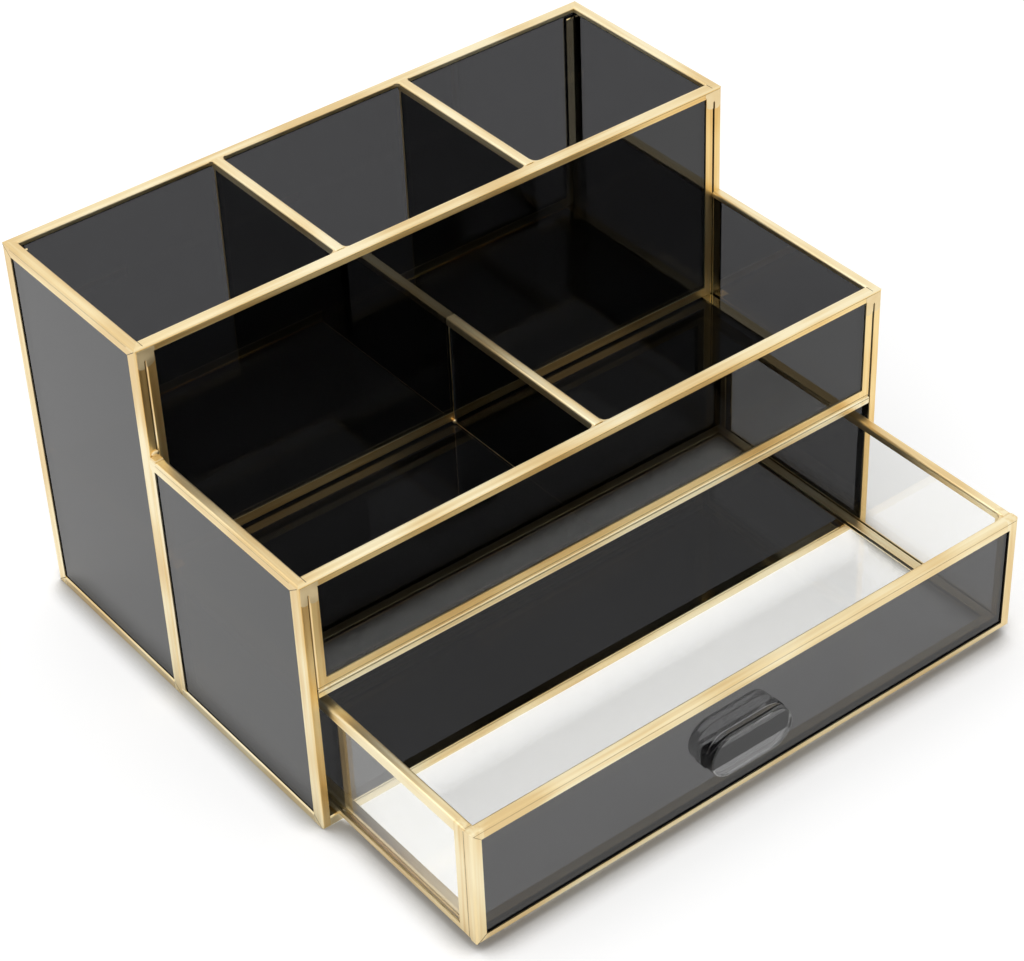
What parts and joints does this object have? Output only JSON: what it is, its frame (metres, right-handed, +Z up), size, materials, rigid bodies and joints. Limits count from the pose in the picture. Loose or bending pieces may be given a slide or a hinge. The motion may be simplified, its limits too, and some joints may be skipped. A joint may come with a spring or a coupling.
{
  "type": "brush holder with drawer",
  "caption": "Stepped desk organiser of smoked glass edged in brass strip: open brush bays behind, small trays in front and a shallow clear-glass drawer below with a moulded pull.",
  "frame": {"origin": "centre of the holder's underside, on the surface that it stands on", "axes": "+Z up, -Y the way that the drawer pulls out, +X to the right as seen from the front"},
  "size_m": [0.24, 0.2426, 0.1436],
  "materials": {
    "smoked_glass": "polished grey-black float glass",
    "clear_glass": "polished clear float glass",
    "brass": "polished strip, light gold",
    "clear_acrylic": "clear, moulded, glossy"
  },
  "bodies": {
    "holder": {"tall_side_glass_left": "smoked_glass", "tall_side_glass_right": "smoked_glass", "low_side_glass_left": "smoked_glass", "low_side_glass_right": "smoked_glass", "base_glass": "smoked_glass", "shelf_glass": "smoked_glass", "back_glass": "smoked_glass", "upper_front_glass": "smoked_glass", "lower_front_glass": "smoked_glass", "tray_divider": "smoked_glass", "brush_divider_1": "smoked_glass", "brush_divider_2": "smoked_glass", "front_post_left": "brass", "front_post_right": "brass", "middle_post_left": "brass", "middle_post_right": "brass", "rear_post_left": "brass", "rear_post_right": "brass", "tall_rim_left": "brass", "tall_rim_right": "brass", "low_rim_left": "brass", "low_rim_right": "brass", "step_angle_left": "brass", "step_angle_right": "brass", "base_frame": "brass", "shelf_frame": "brass", "back_frame": "brass", "upper_front_frame": "brass", "lower_front_frame": "brass", "back_rim": "brass", "upper_front_rim": "brass", "lower_front_rim": "brass", "tray_divider_cap": "brass", "brush_divider_cap_1": "brass", "brush_divider_cap_2": "brass"},
    "drawer": {"drawer_face_glass": "smoked_glass", "drawer_side_glass_left": "clear_glass", "drawer_side_glass_right": "clear_glass", "drawer_back_glass": "clear_glass", "drawer_floor_glass": "clear_glass", "drawer_pull": "clear_acrylic", "drawer_side_frame_left": "brass", "drawer_side_frame_right": "brass", "drawer_back_frame": "brass", "drawer_floor_frame": "brass", "drawer_face_frame": "brass"}
  },
  "joints": [
    {"name": "drawer_slide", "type": "slide", "parent": "holder", "child": "drawer", "axis": [0, -1, 0], "range_m": [-0.074, 0.06]}
  ]
}
